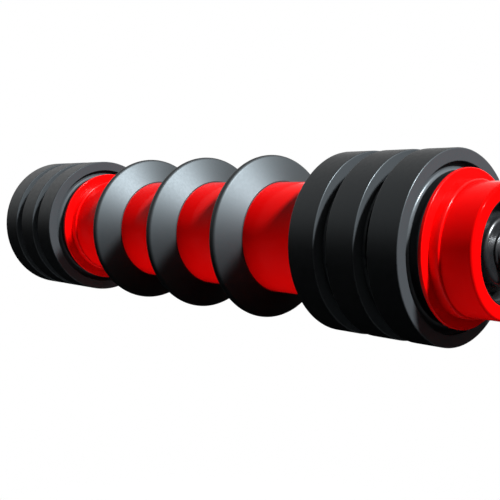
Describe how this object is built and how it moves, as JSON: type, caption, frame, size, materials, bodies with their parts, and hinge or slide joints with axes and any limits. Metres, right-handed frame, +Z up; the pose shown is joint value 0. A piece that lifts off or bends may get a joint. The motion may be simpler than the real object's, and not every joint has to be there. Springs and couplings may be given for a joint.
{
  "type": "conveyor return roller",
  "caption": "Belt conveyor return roller: thick red tube with grouped black rubber rings at the ends and spaced conical rubber discs between, turning on a fixed flatted steel shaft.",
  "frame": {"origin": "middle of the roller's axis", "axes": "+X along the roller's axis, towards the end that is near in the picture; +Z up in use"},
  "size_m": [0.626, 0.133, 0.133],
  "materials": {
    "red_tube": "glossy extruded",
    "red_collar": "glossy moulded",
    "ring_rubber": "moulded satin",
    "disc_rubber": "moulded semi-gloss",
    "housing_plastic": "glossy moulded",
    "seal_plastic": "glossy moulded",
    "shaft_steel": "bright drawn",
    "bearing_steel": "ground and polished",
    "cage_steel": "pressed",
    "circlip_steel": "black phosphated spring steel"
  },
  "bodies": {
    "shaft": {"shaft": "shaft_steel", "inner_race_left": "bearing_steel", "inner_race_right": "bearing_steel", "circlip_left": "circlip_steel", "circlip_right": "circlip_steel", "seal_disc_left": "seal_plastic", "seal_disc_right": "seal_plastic"},
    "shell": {"tube": "red_tube", "ring_left_outer": "ring_rubber", "ring_left_middle": "ring_rubber", "ring_left_inner": "ring_rubber", "ring_right_outer": "ring_rubber", "ring_right_middle": "ring_rubber", "ring_right_inner": "ring_rubber", "disc_left": "disc_rubber", "disc_middle": "disc_rubber", "disc_right": "disc_rubber", "collar_left_outer": "red_collar", "collar_left_inner": "red_collar", "collar_right_outer": "red_collar", "collar_right_inner": "red_collar", "bearing_housing_left": "housing_plastic", "bearing_housing_right": "housing_plastic", "outer_race_left": "bearing_steel", "outer_race_right": "bearing_steel", "seal_ring_left": "seal_plastic", "seal_ring_right": "seal_plastic", "back_seal_left": "seal_plastic", "back_seal_right": "seal_plastic"},
    "left_cage": {"ball_cage_left": "cage_steel", "bearing_balls_left": "bearing_steel"},
    "right_cage": {"ball_cage_right": "cage_steel", "bearing_balls_right": "bearing_steel"}
  },
  "joints": [
    {"name": "shell_spin", "type": "hinge", "parent": "shaft", "child": "shell", "pos_m": [0, 0, 0], "axis": [1, 0, 0], "continuous": true},
    {"name": "left_cage_spin", "type": "hinge", "parent": "shaft", "child": "left_cage", "pos_m": [-0.274, 0, 0], "axis": [1, 0, 0], "continuous": true},
    {"name": "right_cage_spin", "type": "hinge", "parent": "shaft", "child": "right_cage", "pos_m": [0.274, 0, 0], "axis": [1, 0, 0], "continuous": true}
  ],
  "couplings": [
    {"joint": "left_cage_spin", "follows": "shell_spin", "ratio": 0.61851},
    {"joint": "right_cage_spin", "follows": "shell_spin", "ratio": 0.61851}
  ]
}
